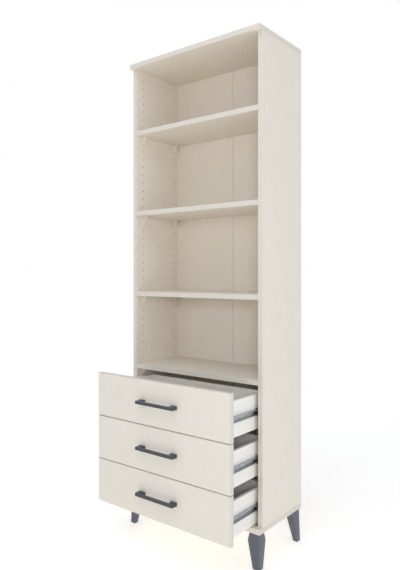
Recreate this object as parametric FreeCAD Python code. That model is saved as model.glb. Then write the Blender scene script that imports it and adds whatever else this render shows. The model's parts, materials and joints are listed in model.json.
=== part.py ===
import FreeCAD, Part
import math
import os

# Tall bookcase on four short legs: open shelves above, three drawers below.
# Millimetres.  X runs across the width, Y from front (-) to back (+), Z up from the floor.
# The drawers stand part way out, as at rest.

os.makedirs("parts", exist_ok=True)

# ---------------------------------------------------------------- carcass boards
carcass_width = 600.0
carcass_depth = 275.0          # side panel, front edge to rear edge
carcass_height = 1700.0        # underside of the bottom panel to the upper face of the top panel
board = 18.0                   # thickness of the carcass boards and shelves
front_overhang = 20.0          # top and bottom panels stand this far in front of the side panels
edge_round = 0.8               # softened edge of a lipped board

# ---------------------------------------------------------------- back
back_thickness = 3.0
back_setback = 18.4            # rear edge of the side panels to the front face of the back
groove_depth = 8.0
groove_slack = 0.2             # groove width over the thickness of what it holds
groove_end_slack = 0.6         # left between a sheet's edge and the bottom of its groove
strip_flange = 14.0            # width of the H strip that joins the two back sheets
strip_wall = 1.0
strip_web = 1.6

# ---------------------------------------------------------------- shelves and their holes
hole_pitch = 32.0
hole_diameter = 5.0
hole_depth = 11.0
hole_front_inset = 37.0        # front row, from the front edge of the side panel
hole_rear_inset = 46.0         # rear row, from the rear edge of the side panel
hole_middle_inset = 128.0      # spare pairs of holes between the two rows
hole_top_margin = 24.0         # no hole nearer than this to the top panel
shelf_steps = (9, 10, 10)      # hole pitches from one shelf up to the next
spare_steps = (8, 9, 15, 16, 28, 29)
shelf_side_gap = 0.5
shelf_rear_gap = 1.6           # shelf to the front face of the back
shelf_front_overlap = 7.0      # the top drawer front covers this much of the lowest shelf's edge
support_width = 12.0
support_reach = 18.0
support_toe = 4.0
support_lip = 2.5
support_above_pin = 26.0       # pin axis to the underside of the shelf
support_below_pin = 4.0
pin_length = 9.0
pin_slack = 0.1

# ---------------------------------------------------------------- legs
leg_height = 120.0             # floor to the underside of the bottom panel
leg_inset_top = 6.0            # outer faces inside the edges of the bottom panel, at the panel
leg_inset_foot = 3.0           # and at the foot
leg_face_top = 50.0            # width of each outer face, at the panel
leg_face_foot = 25.0           # and at the foot
leg_inner_share = 0.8          # how far in the inner corner lies, as a share of the face width
leg_facet_reach = 18.0         # facet on each side corner: along both faces at the panel
leg_facet_drop = 30.0          # and down the corner
leg_edge_round = 1.5
leg_screw_places = (18.0, 30.0)  # screw axes, both ways in from the leg's outer corner
leg_screw_diameter = 4.5
leg_screw_head = 8.6
leg_screw_head_height = 2.6
leg_screw_length = 40.0
glide_thickness = 3.0
glide_pin_diameter = 5.0
glide_pin_length = 8.0
glide_pin_place = 8.5          # both ways in from the foot's outer corner

# ---------------------------------------------------------------- carcass fixings
screw_core_diameter = 6.0      # carcass screws, two at each corner of the frame
screw_head_diameter = 10.0
screw_head_height = 4.0
screw_length = 50.0
screw_front_inset = 50.0
screw_rear_inset = 62.0
cap_thickness = 1.4
dowel_diameter = 8.0
dowel_length = 34.0
dowel_panel_depth = 12.0
dowel_end_gap = 0.6            # left past the dowel in the side panel
dowel_offset = 32.0            # dowel axis to the screw axis beside it
hole_slack = 0.1               # radius of a hole over the radius of what it holds

# ---------------------------------------------------------------- drawers
drawer_names = ("bottom", "middle", "top")
front_height = 158.0
front_thickness = 18.0
front_side_inset = 1.0         # front's side edge inside the carcass side
front_gap = 2.0                # between two fronts
floor_gap = 3.0                # under the lowest front
front_standoff = 2.0           # closed front's inner face to the side panels' edges
front_round = 2.5
drawer_reserve = 17.0          # how much further the drawers run out than they stand at rest
box_side = 12.0
box_back = 12.0
box_height = 118.0
box_rise = 1.0                 # underside of the box above the lower edge of its front
box_bottom_thickness = 3.0
box_groove_rise = 10.0
box_groove_depth = 6.0
cam_diameter = 12.0
cam_depth = 9.5
cam_distance = 24.0            # cam axis behind the front
cam_inset = 25.0               # cam axes from the upper and lower edges of the box side
cam_bolt_in_front = 11.0
cam_bolt_thread = 5.0
cam_bolt_stem = 3.6
cam_bolt_head = 5.6
cam_bolt_head_length = 2.0
cam_bolt_channel = 6.4         # hole for the bolt along the box side, and inside the cam disc
box_screw_diameter = 4.0
box_screw_length = 34.0
box_screw_head = 7.0
box_screw_head_height = 2.4
box_screw_inset = 27.0

# ---------------------------------------------------------------- handles
handle_length = 170.0
handle_reach = 27.0            # front face of the bar to the drawer front
handle_bar_depth = 9.0
handle_bar_height = 10.0
handle_lift = 1.5              # middle of the bar above the middle of the front
handle_foot_width = 21.0       # foot, where it leaves the bar
handle_base_width = 27.0       # and at the drawer front
handle_base_height = 13.0
handle_end_chamfer = 2.0
handle_edge_round = 0.8
handle_hole_spacing = 160.0
handle_screw_diameter = 4.0
handle_screw_grip = 9.0        # thread inside the handle's foot
handle_screw_head = 8.5
handle_screw_head_height = 2.2

# ---------------------------------------------------------------- ball slides
slide_gap = 12.7               # box side to carcass side
slide_rise = 61.0              # slide axis above the lower edge of the drawer front
rail_setback = 3.5             # front end of the cabinet rail behind the side panel's edge
rail_rear_gap = 3.1            # rear end of the cabinet rail to the front face of the back
rail_overlap = 65.0            # drawer rail left behind the front edge when run right out
rail_sheet = 1.2
cabinet_rail_height = 27.0
drawer_rail_height = 17.5
rail_box_gap = 2.9             # lips of the cabinet rail to the box side
cage_sheet = 0.6
cage_gap = 0.45                # cage web to the rails on either side
cage_edge_gap = 0.3            # cage strips to the lips of the rails
cage_length = 50.0
ball_gap = 0.1
ball_hole_slack = 0.2
balls_in_row = 5
ball_pitch = 9.0
stop_front = 1.5               # front face of the stop behind the side panel's edge
stop_length = 9.5
stop_gap = 0.4
stop_cage_gap = 1.0
cabinet_screw_front = 34.0     # first and last screw from the ends of the cabinet rail
cabinet_screw_rear = 24.0
drawer_screw_front = (40.0, 74.0)  # screws from the front end of the drawer rail
drawer_screw_rear = 48.0       # and from its rear end
drawer_slot_place = 96.5
drawer_slot_width = 4.6
drawer_slot_length = 9.0
rail_screw_diameter = 3.6
cabinet_screw_head = 6.4
cabinet_screw_length = 14.0
drawer_screw_head = 7.2
drawer_screw_head_height = 1.0
drawer_screw_length = 9.5

# ---------------------------------------------------------------- derived places
half_width = carcass_width / 2
inner_half = half_width - board
z_under = leg_height
z_floor = z_under + board
z_top = z_under + carcass_height
z_ceiling = z_top - board

back_face = carcass_depth - back_setback
groove_width = back_thickness + groove_slack

lowest_front = z_floor + floor_gap
front_step = front_height + front_gap
stack_top = lowest_front + front_step * len(drawer_names) - front_gap
handle_place = front_height / 2 + handle_lift      # above the lower edge of the front

drawer_shelf_under = stack_top - shelf_front_overlap
first_hole = drawer_shelf_under - support_above_pin
hole_count = int((z_ceiling - hole_top_margin - first_hole) // hole_pitch) + 1
row_front = hole_front_inset
row_rear = carcass_depth - hole_rear_inset

rail_length = back_face - rail_rear_gap - rail_setback
cabinet_screw_last = rail_length - cabinet_screw_rear
cabinet_screw_middle = (cabinet_screw_front + cabinet_screw_last) / 2
cabinet_screw_places = (cabinet_screw_front, cabinet_screw_middle, cabinet_screw_last)
drawer_screw_places = drawer_screw_front + (rail_length - drawer_screw_rear,)

drawer_pull = rail_length - rail_overlap - drawer_reserve  # how far the drawers stand out at rest
front_inner = -(front_standoff + drawer_pull)      # inner face of a drawer front at rest
front_outer = front_inner - front_thickness
box_rear = front_inner + rail_length               # the box is as deep as its rails
box_half = inner_half - slide_gap                  # outer faces of the drawer box

rest_front = front_outer - handle_reach
origin_y = (rest_front + carcass_depth) / 2        # middle of the whole piece at rest

X = FreeCAD.Vector(1, 0, 0)
Y = FreeCAD.Vector(0, 1, 0)
Z = FreeCAD.Vector(0, 0, 1)


def block(x0, x1, y0, y1, z0, z1):
    low = FreeCAD.Vector(min(x0, x1), min(y0, y1), min(z0, z1))
    return Part.makeBox(abs(x1 - x0), abs(y1 - y0), abs(z1 - z0), low)


def rod(start, axis, diameter, length):
    """A cylinder from a start point; a negative length runs against the axis."""
    way = axis if length > 0 else axis * -1
    return Part.makeCylinder(diameter / 2, abs(length), FreeCAD.Vector(*start), way)


def cone(start, axis, first, last, length):
    way = axis if length > 0 else axis * -1
    return Part.makeCone(first / 2, last / 2, abs(length), FreeCAD.Vector(*start), way)


def mirror_x(shape):
    return shape.mirror(FreeCAD.Vector(0, 0, 0), X)


def both_sides(shapes):
    return shapes + [mirror_x(shape) for shape in shapes]


def prism_xz(points, y0, y1):
    """A prism along Y with its outline in the XZ plane."""
    corners = [FreeCAD.Vector(x, y0, z) for x, z in points]
    outline = Part.makePolygon(corners + corners[:1])
    return Part.Face(outline).extrude(Y * (y1 - y0))


def round_edges(shape, radius, chosen):
    """Fillet the straight edges for which chosen(start, end) is true."""
    edges = []
    for edge in shape.Edges:
        start = edge.Vertexes[0].Point
        end = edge.Vertexes[-1].Point
        if len(edge.Vertexes) == 2 and chosen(start, end):
            edges.append(edge)
    return shape.makeFillet(radius, edges)


def on_plane(axis, place):
    """True for an edge that lies wholly on the plane where one coordinate has this value."""
    def test(start, end):
        return abs(getattr(start, axis) - place) < 1e-6 and abs(getattr(end, axis) - place) < 1e-6
    return test


def save(node, shapes):
    shape = shapes[0] if len(shapes) == 1 else Part.makeCompound(shapes)
    shape = shape.copy()
    shape.translate(Y * -origin_y)
    shape.exportStep("parts/" + node + ".step")
    solids = shape.Solids
    volume = sum(solid.Volume for solid in solids)
    print("%-28s %3d solids %12.1f mm3 valid %s" % (node, len(solids), volume, shape.isValid()))


# ---------------------------------------------------------------- carcass
screw_rows = (screw_front_inset, carcass_depth - screw_rear_inset)
dowel_rows = (screw_rows[0] + dowel_offset, screw_rows[1] - dowel_offset)
joint_x = half_width - board / 2


def end_panel(z0, z1, joint_face, outward):
    """Top or bottom panel; joint_face touches the side panels, outward is +1 up or -1 down."""
    panel = block(-half_width, half_width, -front_overhang, carcass_depth, z0, z1)
    panel = round_edges(panel, edge_round, on_plane("y", -front_overhang))
    cuts = [block(-inner_half - groove_depth, inner_half + groove_depth, back_face, back_face + groove_width,
                  joint_face, joint_face + outward * groove_depth)]
    outer_face = joint_face + outward * board
    for side in (-1, 1):
        for y in screw_rows:
            place = (side * joint_x, y, joint_face)
            cuts.append(rod(place, Z, screw_core_diameter + 2 * hole_slack, outward * board))
            head = (side * joint_x, y, outer_face)
            depth = screw_head_height + cap_thickness
            cuts.append(rod(head, Z, screw_head_diameter + 2 * hole_slack, -outward * depth))
        for y in dowel_rows:
            place = (side * joint_x, y, joint_face)
            cuts.append(rod(place, Z, dowel_diameter + 2 * hole_slack, outward * dowel_panel_depth))
    return panel.cut(cuts)


def leg_screw_axes():
    """Two screws stand in each leg."""
    axes = []
    for side in (-1, 1):
        for place in leg_screw_places:
            x = side * (half_width - leg_inset_top - place)
            axes.append((x, -front_overhang + leg_inset_top + place))
            axes.append((x, carcass_depth - leg_inset_top - place))
    return axes


def bottom_panel():
    panel = end_panel(z_under, z_floor, z_floor, -1)
    cuts = []
    for x, y in leg_screw_axes():
        cuts.append(rod((x, y, z_floor), Z, leg_screw_diameter + 2 * hole_slack, -board))
        cuts.append(cone((x, y, z_floor), Z, leg_screw_head + 2 * hole_slack,
                         leg_screw_diameter + 2 * hole_slack, -leg_screw_head_height))
    return panel.cut(cuts)


def slide_axis(number):
    return lowest_front + number * front_step + slide_rise


def side_panel():
    """Right-hand side panel."""
    panel = block(inner_half, half_width, 0, carcass_depth, z_floor, z_ceiling)
    panel = round_edges(panel, edge_round, lambda a, b: on_plane("y", 0)(a, b) and abs(a.z - b.z) > board)
    cuts = [block(inner_half, inner_half + groove_depth, back_face, back_face + groove_width,
                  z_floor, z_ceiling)]
    for number in range(hole_count):
        z = first_hole + number * hole_pitch
        rows = [row_front, row_rear]
        if number in spare_steps:
            rows.append(hole_middle_inset)
        for y in rows:
            cuts.append(rod((inner_half, y, z), X, hole_diameter, hole_depth))
    for joint_face, inward in ((z_ceiling, -1), (z_floor, 1)):
        for y in screw_rows:
            start = (joint_x, y, joint_face)
            depth = screw_length - (board - cap_thickness) + hole_slack
            cuts.append(rod(start, Z, screw_core_diameter + 2 * hole_slack, inward * depth))
        for y in dowel_rows:
            start = (joint_x, y, joint_face)
            depth = dowel_length - dowel_panel_depth + dowel_end_gap
            cuts.append(rod(start, Z, dowel_diameter + 2 * hole_slack, inward * depth))
    for number in range(len(drawer_names)):
        for place in cabinet_screw_places:
            start = (inner_half, rail_setback + place, slide_axis(number))
            cuts.append(rod(start, X, rail_screw_diameter + 2 * hole_slack, cabinet_screw_length))
    return panel.cut(cuts)


def shelf(under):
    half = inner_half - shelf_side_gap
    plate = block(-half, half, 0, back_face - shelf_rear_gap, under, under + board)
    return round_edges(plate, edge_round, lambda a, b: on_plane("y", 0)(a, b) and abs(a.x - b.x) > board)


def back_sheet():
    """Right-hand half of the back, held in the grooves and in the H strip."""
    near = strip_web / 2 + hole_slack
    far = inner_half + groove_depth - groove_end_slack
    reach = groove_depth - groove_end_slack
    front = back_face + groove_slack / 2
    return block(near, far, front, front + back_thickness, z_floor - reach, z_ceiling + reach)


def joint_strip():
    web = block(-strip_web / 2, strip_web / 2, back_face, back_face + groove_width, z_floor, z_ceiling)
    half = strip_flange / 2
    flanges = []
    for y0 in (back_face - strip_wall, back_face + groove_width):
        flanges.append(block(-half, half, y0, y0 + strip_wall, z_floor, z_ceiling))
    return web.fuse(flanges).removeSplitter()


def carcass_screws():
    screws = []
    for joint_face, outward in ((z_ceiling, 1), (z_floor, -1)):
        for y in screw_rows:
            under_cap = joint_face + outward * (board - cap_thickness)
            head = rod((joint_x, y, under_cap), Z, screw_head_diameter, -outward * screw_head_height)
            shank = rod((joint_x, y, under_cap), Z, screw_core_diameter, -outward * screw_length)
            screws.append(head.fuse(shank).removeSplitter())
    return both_sides(screws)


def screw_caps():
    caps = []
    for outer_face, outward in ((z_top, 1), (z_under, -1)):
        for y in screw_rows:
            caps.append(rod((joint_x, y, outer_face), Z, screw_head_diameter, -outward * cap_thickness))
    return both_sides(caps)


def carcass_dowels():
    dowels = []
    for joint_face, outward in ((z_ceiling, 1), (z_floor, -1)):
        for y in dowel_rows:
            end = joint_face + outward * dowel_panel_depth
            dowels.append(rod((joint_x, y, end), Z, dowel_diameter, -outward * dowel_length))
    return both_sides(dowels)


def shelf_support(under, y):
    """Gusset bracket on the right-hand side with its pin in one hole."""
    base = support_above_pin + support_below_pin
    outline = ((inner_half, under), (inner_half - support_reach, under),
               (inner_half - support_reach, under - support_lip),
               (inner_half - support_toe, under - base), (inner_half, under - base))
    gusset = prism_xz(outline, y - support_width / 2, y + support_width / 2)
    start = (inner_half - support_toe / 2, y, under - support_above_pin)
    pin = rod(start, X, hole_diameter - 2 * pin_slack, pin_length + support_toe / 2)
    return gusset.fuse(pin).removeSplitter()


# ---------------------------------------------------------------- legs
# The front right leg is drawn and mirrored.  Its plan is a kite with two outer faces.
def leg_point(across, along, inset, z):
    """A point of the leg, both ways in from its outer corner."""
    return FreeCAD.Vector(half_width - inset - across, -front_overhang + inset + along, z)


def leg_plan(face, inset, z):
    inner = leg_inner_share * face
    return [leg_point(a, b, inset, z) for a, b in ((0, 0), (face, 0), (inner, inner), (0, face))]


def frustum(low, high):
    """A solid with flat sides between two outlines with as many corners."""
    count = len(low)
    outlines = [low, high]
    for number in range(count):
        after = (number + 1) % count
        outlines.append([low[number], low[after], high[after], high[number]])
    shell = Part.makeShell([Part.Face(Part.makePolygon(corners + corners[:1])) for corners in outlines])
    shell.sewShape()
    solid = Part.makeSolid(shell)
    if solid.Volume < 0:
        solid.reverse()
    return solid


def leg_facets():
    """The wedges that are cut from the leg's two side corners, one in each outer face."""
    inner = leg_inner_share * leg_face_top
    run = math.hypot(inner, leg_face_top - inner)
    step_in = leg_facet_reach * inner / run
    step_back = leg_face_top - leg_facet_reach * (leg_face_top - inner) / run
    down = leg_facet_drop / (leg_height - glide_thickness)
    face = leg_face_top + (leg_face_foot - leg_face_top) * down
    inset = leg_inset_top + (leg_inset_foot - leg_inset_top) * down
    places = ((0, leg_face_top - leg_facet_reach, leg_inset_top, z_under),
              (step_in, step_back, leg_inset_top, z_under),
              (0, face, inset, z_under - leg_facet_drop),
              (0, leg_face_top, leg_inset_top, z_under))
    wedges = []
    for swapped in (False, True):
        points = []
        for across, along, point_inset, z in places:
            if swapped:
                across, along = along, across
            points.append(leg_point(across, along, point_inset, z))
        start, second, low, tip = points
        flat = (second - start).normalize()
        out = flat.cross(low - start).normalize()
        if out.dot(tip - start) < 0:
            out = out * -1
        right = flat * leg_face_top
        up = out.cross(flat) * leg_face_top
        outline = [start - right - up, start + right - up, start + right + up, start - right + up]
        face_outline = Part.makePolygon(outline + outline[:1])
        wedges.append(Part.Face(face_outline).extrude(out * leg_face_top))
    return wedges


def front_right_leg():
    body = frustum(leg_plan(leg_face_foot, leg_inset_foot, glide_thickness),
                   leg_plan(leg_face_top, leg_inset_top, z_under))
    plan = leg_plan(leg_face_top, leg_inset_top, z_under)

    def outer_or_inner(start, end):
        return abs(start.z - end.z) > leg_face_top and any(
            corner.isEqual(point, 1e-6) for corner in (plan[0], plan[2]) for point in (start, end))

    body = round_edges(body, leg_edge_round, outer_or_inner)
    cuts = leg_facets()
    depth = leg_screw_length - board + hole_slack
    for place in leg_screw_places:
        point = leg_point(place, place, leg_inset_top, z_under)
        cuts.append(rod((point.x, point.y, z_under), Z, leg_screw_diameter + 2 * hole_slack, -depth))
    point = leg_point(glide_pin_place, glide_pin_place, leg_inset_foot, glide_thickness)
    cuts.append(rod((point.x, point.y, glide_thickness), Z, glide_pin_diameter + 2 * hole_slack,
                    glide_pin_length + hole_slack))
    return body.cut(cuts)


def front_right_glide():
    pad = frustum(leg_plan(leg_face_foot, leg_inset_foot, 0),
                  leg_plan(leg_face_foot, leg_inset_foot, glide_thickness))
    point = leg_point(glide_pin_place, glide_pin_place, leg_inset_foot, glide_thickness)
    start = (point.x, point.y, glide_thickness / 2)
    pin = rod(start, Z, glide_pin_diameter, glide_thickness / 2 + glide_pin_length)
    return pad.fuse(pin).removeSplitter()


def at_corner(shape, side, rear):
    """The front right piece, mirrored to another corner of the carcass."""
    if rear:
        shape = shape.mirror(Y * ((carcass_depth - front_overhang) / 2), Y)
    return shape if side > 0 else mirror_x(shape)


def leg_screws():
    screws = []
    for x, y in leg_screw_axes():
        head = cone((x, y, z_floor), Z, leg_screw_head, leg_screw_diameter, -leg_screw_head_height)
        shank = rod((x, y, z_floor), Z, leg_screw_diameter, -leg_screw_length)
        screws.append(head.fuse(shank).removeSplitter())
    return screws


# ---------------------------------------------------------------- ball slides
# The right-hand slide is drawn and mirrored.  Heights are measured from the slide axis.
wall_x = inner_half
web_x = wall_x - rail_sheet                        # inner face of the cabinet rail's web
cage_web_x = web_x - cage_gap                      # outer face of the cage's web
drawer_lip_x = cage_web_x - cage_sheet - cage_gap  # free ends of the drawer rail's flanges
cabinet_lip_x = box_half + rail_box_gap            # free ends of the cabinet rail's flanges
cabinet_inside = cabinet_rail_height / 2 - rail_sheet
drawer_outside = drawer_rail_height / 2
race = cabinet_inside - drawer_outside             # height of the ball race
ball_diameter = race - 2 * ball_gap
race_middle = drawer_outside + race / 2
lip_height = (race - cage_sheet) / 2 - cage_edge_gap
ball_x = (cabinet_lip_x + drawer_lip_x) / 2
rail_y0 = rail_setback
drawer_rail_y0 = front_inner
stop_rear = stop_front + stop_length
cage_y0 = stop_rear + stop_cage_gap + drawer_reserve / 2
cage_y1 = cage_y0 + cage_length


def rail_profile(upper, y0, y1):
    """A rail whose section is the same above and below the slide axis.

    The outline runs along the outside, back along the inside and round the lower flange.
    """
    return prism_xz(upper + [(x, -z) for x, z in reversed(upper)], y0, y1)


def cabinet_rail(axis):
    tall = cabinet_rail_height / 2
    upper = [(wall_x, tall), (cabinet_lip_x, tall), (cabinet_lip_x, cabinet_inside - lip_height),
             (cabinet_lip_x + rail_sheet, cabinet_inside - lip_height),
             (cabinet_lip_x + rail_sheet, cabinet_inside), (web_x, cabinet_inside)]
    rail = rail_profile(upper, rail_y0, rail_y0 + rail_length)
    cuts = []
    for place in cabinet_screw_places:
        start = (wall_x, rail_y0 + place, 0)
        cuts.append(cone(start, X, rail_screw_diameter + 2 * hole_slack,
                         cabinet_screw_head + 2 * hole_slack, -rail_sheet))
    rail = rail.cut(cuts)
    rail.translate(Z * axis)
    return rail


def cabinet_screw(place, axis):
    head = cone((wall_x, rail_y0 + place, axis), X, rail_screw_diameter, cabinet_screw_head, -rail_sheet)
    shank = rod((wall_x, rail_y0 + place, axis), X, rail_screw_diameter, cabinet_screw_length - hole_slack)
    return head.fuse(shank).removeSplitter()


def drawer_rail(axis):
    inside = drawer_outside - rail_sheet
    upper = [(box_half, drawer_outside), (drawer_lip_x - rail_sheet, drawer_outside),
             (drawer_lip_x - rail_sheet, drawer_outside + lip_height),
             (drawer_lip_x, drawer_outside + lip_height),
             (drawer_lip_x, inside), (box_half + rail_sheet, inside)]
    rail = rail_profile(upper, drawer_rail_y0, drawer_rail_y0 + rail_length)
    cuts = []
    for place in drawer_screw_places:
        start = (box_half, drawer_rail_y0 + place, 0)
        cuts.append(rod(start, X, rail_screw_diameter + 2 * hole_slack, rail_sheet))
    middle = drawer_rail_y0 + drawer_slot_place
    straight = (drawer_slot_length - drawer_slot_width) / 2
    for end in (-straight, straight):
        cuts.append(rod((box_half, middle + end, 0), X, drawer_slot_width, rail_sheet))
    half = drawer_slot_width / 2
    cuts.append(block(box_half, box_half + rail_sheet, middle - straight, middle + straight, -half, half))
    rail = rail.cut(cuts)
    rail.translate(Z * axis)
    return rail


def drawer_rail_screw(place, axis):
    start = (box_half + rail_sheet, drawer_rail_y0 + place, axis)
    head = rod(start, X, drawer_screw_head, drawer_screw_head_height)
    shank = rod(start, X, rail_screw_diameter, -drawer_screw_length)
    return head.fuse(shank).removeSplitter()


def rail_stop(axis):
    """Plastic stop in the front end of the cabinet rail; the drawer rail runs round its core."""
    core_x = box_half + rail_sheet + drawer_screw_head_height + stop_gap
    plate_x = drawer_lip_x + stop_gap
    core_half = drawer_outside - rail_sheet - stop_gap
    ear_low = drawer_outside + lip_height + stop_gap
    inside_x = cabinet_lip_x + rail_sheet
    core = block(core_x, web_x, stop_front, stop_rear, axis - core_half, axis + core_half)
    parts = [block(plate_x, web_x, stop_front, stop_rear, axis - cabinet_inside, axis + cabinet_inside)]
    for way in (-1, 1):
        low = axis + way * ear_low
        parts.append(block(inside_x, web_x, stop_front, stop_rear, low, axis + way * cabinet_inside))
        lip = axis + way * cabinet_rail_height / 2
        parts.append(block(cabinet_lip_x, wall_x, stop_front, rail_y0, low, lip))
    return core.fuse(parts).removeSplitter()


def ball_cage(axis):
    low = race_middle - cage_sheet / 2
    high = race_middle + cage_sheet / 2
    strip_x = cabinet_lip_x + cage_edge_gap
    web = block(cage_web_x - cage_sheet, cage_web_x, cage_y0, cage_y1, -high, high)
    strips = [block(strip_x, cage_web_x, cage_y0, cage_y1, way * low, way * high) for way in (-1, 1)]
    cage = web.fuse(strips).removeSplitter()
    holes = []
    for y in ball_places():
        holes.append(rod((ball_x, y, -high), Z, ball_diameter + 2 * ball_hole_slack, 2 * high))
    cage = cage.cut(holes)
    cage.translate(Z * axis)
    return cage


def ball_places():
    middle = (cage_y0 + cage_y1) / 2
    return [middle + (number - (balls_in_row - 1) / 2) * ball_pitch for number in range(balls_in_row)]


def cage_balls(axis):
    balls = []
    for y in ball_places():
        for way in (-1, 1):
            centre = FreeCAD.Vector(ball_x, y, axis + way * race_middle)
            balls.append(Part.makeSphere(ball_diameter / 2, centre))
    return balls


# ---------------------------------------------------------------- drawers
groove_z = box_rise + box_groove_rise              # lower face of the drawer bottom's groove
box_groove = box_bottom_thickness + groove_slack
cam_heights = (box_rise + cam_inset, box_rise + box_height - cam_inset)
box_screw_heights = (box_rise + box_screw_inset, box_rise + box_height - box_screw_inset)
box_inner = box_half - box_side


def drawer_front(base):
    half = half_width - front_side_inset
    panel = block(-half, half, front_outer, front_inner, base, base + front_height)
    panel = round_edges(panel, front_round, on_plane("y", front_outer))
    groove_half = box_inner + box_groove_depth
    cuts = [block(-groove_half, groove_half, front_inner - box_groove_depth, front_inner,
                  base + groove_z, base + groove_z + box_groove)]
    for side in (-1, 1):
        start = (side * handle_hole_spacing / 2, front_inner, base + handle_place)
        cuts.append(rod(start, Y, handle_screw_diameter + 2 * hole_slack, -front_thickness))
        for height in cam_heights:
            start = (side * (box_half - box_side / 2), front_inner, base + height)
            cuts.append(rod(start, Y, cam_bolt_thread + 2 * hole_slack, -cam_bolt_in_front))
    return panel.cut(cuts)


def drawer_side(base):
    """Right-hand side of a drawer box."""
    panel = block(box_inner, box_half, front_inner, box_rear, base + box_rise, base + box_rise + box_height)
    cuts = [block(box_inner, box_inner + box_groove_depth, front_inner, box_rear,
                  base + groove_z, base + groove_z + box_groove)]
    middle_x = box_half - box_side / 2
    for height in cam_heights:
        z = base + height
        cam = (box_inner, front_inner + cam_distance, z)
        cuts.append(rod(cam, X, cam_diameter + 2 * hole_slack, cam_depth))
        cuts.append(rod((middle_x, front_inner, z), Y, cam_bolt_channel, cam_distance))
    for height in box_screw_heights:
        start = (box_half, box_rear - box_back / 2, base + height)
        cuts.append(rod(start, X, box_screw_diameter + 2 * hole_slack, -box_side))
        cuts.append(cone(start, X, box_screw_head + 2 * hole_slack,
                         box_screw_diameter + 2 * hole_slack, -box_screw_head_height))
    for place in drawer_screw_places:
        start = (box_half, drawer_rail_y0 + place, base + slide_rise)
        cuts.append(rod(start, X, rail_screw_diameter + 2 * hole_slack, -drawer_screw_length))
    return panel.cut(cuts)


def drawer_back(base):
    low = base + groove_z + box_groove
    panel = block(-box_inner, box_inner, box_rear - box_back, box_rear, low, base + box_rise + box_height)
    depth = box_screw_length - box_side
    cuts = []
    for side in (-1, 1):
        for height in box_screw_heights:
            start = (side * box_inner, box_rear - box_back / 2, base + height)
            cuts.append(rod(start, X, box_screw_diameter + 2 * hole_slack, -side * depth))
    return panel.cut(cuts)


def drawer_bottom(base):
    half = box_inner + box_groove_depth - groove_end_slack
    front = front_inner - box_groove_depth + groove_end_slack
    low = base + groove_z + groove_slack / 2
    return block(-half, half, front, box_rear, low, low + box_bottom_thickness)


def cam_fittings(base):
    """Cam discs in the box sides and their bolts in the drawer front."""
    middle_x = box_half - box_side / 2
    cam_y = front_inner + cam_distance
    pieces = []
    for height in cam_heights:
        z = base + height
        disc = rod((box_inner, cam_y, z), X, cam_diameter, cam_depth - hole_slack)
        room = rod((middle_x, cam_y - cam_diameter, z), Y, cam_bolt_channel, cam_diameter + cam_bolt_head / 2)
        pieces.append(disc.cut(room))
        thread = rod((middle_x, front_inner, z), Y, cam_bolt_thread, -(cam_bolt_in_front - hole_slack))
        stem = rod((middle_x, front_inner, z), Y, cam_bolt_stem, cam_distance)
        head_start = cam_y - cam_bolt_head_length
        head = rod((middle_x, head_start, z), Y, cam_bolt_head, cam_bolt_head_length)
        pieces.append(thread.fuse([stem, head]).removeSplitter())
    return both_sides(pieces)


def box_screws(base):
    screws = []
    for height in box_screw_heights:
        start = (box_half, box_rear - box_back / 2, base + height)
        head = cone(start, X, box_screw_head, box_screw_diameter, -box_screw_head_height)
        shank = rod(start, X, box_screw_diameter, -(box_screw_length - hole_slack))
        screws.append(head.fuse(shank).removeSplitter())
    return both_sides(screws)


def handle(base):
    """Bar with two feet that spread a little towards the drawer front."""
    middle = base + handle_place
    half = handle_length / 2
    bar_front = front_outer - handle_reach
    bar_rear = bar_front + handle_bar_depth
    end = handle_end_chamfer
    outline = ((-half + end, bar_front), (half - end, bar_front), (half, bar_front + end),
               (half, bar_rear), (-half, bar_rear), (-half, bar_front + end))
    corners = [FreeCAD.Vector(x, y, middle - handle_bar_height / 2) for x, y in outline]
    bar = Part.Face(Part.makePolygon(corners + corners[:1])).extrude(Z * handle_bar_height)
    bar = round_edges(bar, handle_edge_round, on_plane("y", bar_front))
    parts = []
    for side in (-1, 1):
        ends = []
        for y, width, height in ((bar_rear, handle_foot_width, handle_bar_height),
                                 (front_outer, handle_base_width, handle_base_height)):
            x0 = side * half
            x1 = side * (half - width)
            z0 = middle - height / 2
            z1 = middle + height / 2
            places = ((x0, z0), (x1, z0), (x1, z1), (x0, z1))
            ends.append([FreeCAD.Vector(x, y, z) for x, z in places])
        parts.append(frustum(ends[0], ends[1]))
    body = bar.fuse(parts).removeSplitter()
    cuts = []
    for side in (-1, 1):
        start = (side * handle_hole_spacing / 2, front_outer, middle)
        depth = handle_screw_grip + hole_slack
        cuts.append(rod(start, Y, handle_screw_diameter + 2 * hole_slack, -depth))
    return body.cut(cuts)


def handle_screws(base):
    screws = []
    for side in (-1, 1):
        start = (side * handle_hole_spacing / 2, front_inner, base + handle_place)
        head = rod(start, Y, handle_screw_head, handle_screw_head_height)
        shank = rod(start, Y, handle_screw_diameter, -(front_thickness + handle_screw_grip))
        screws.append(head.fuse(shank).removeSplitter())
    return screws


# ---------------------------------------------------------------- write the carcass
right_side = side_panel()
right_back = back_sheet()
save("top_panel", [end_panel(z_ceiling, z_top, z_ceiling, 1)])
save("bottom_panel", [bottom_panel()])
save("side_panel_right", [right_side])
save("side_panel_left", [mirror_x(right_side)])
save("back_panel_right", [right_back])
save("back_panel_left", [mirror_x(right_back)])
save("back_joint_strip", [joint_strip()])
save("carcass_screws", carcass_screws())
save("screw_caps", screw_caps())
save("carcass_dowels", carcass_dowels())

shelf_names = ("shelf_above_drawers", "shelf_lower", "shelf_middle", "shelf_upper")
supports = []
under = drawer_shelf_under
for number, name in enumerate(shelf_names):
    if number:
        under += shelf_steps[number - 1] * hole_pitch
    save(name, [shelf(under)])
    supports += [shelf_support(under, y) for y in (row_front, row_rear)]
save("shelf_supports", both_sides(supports))

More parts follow.
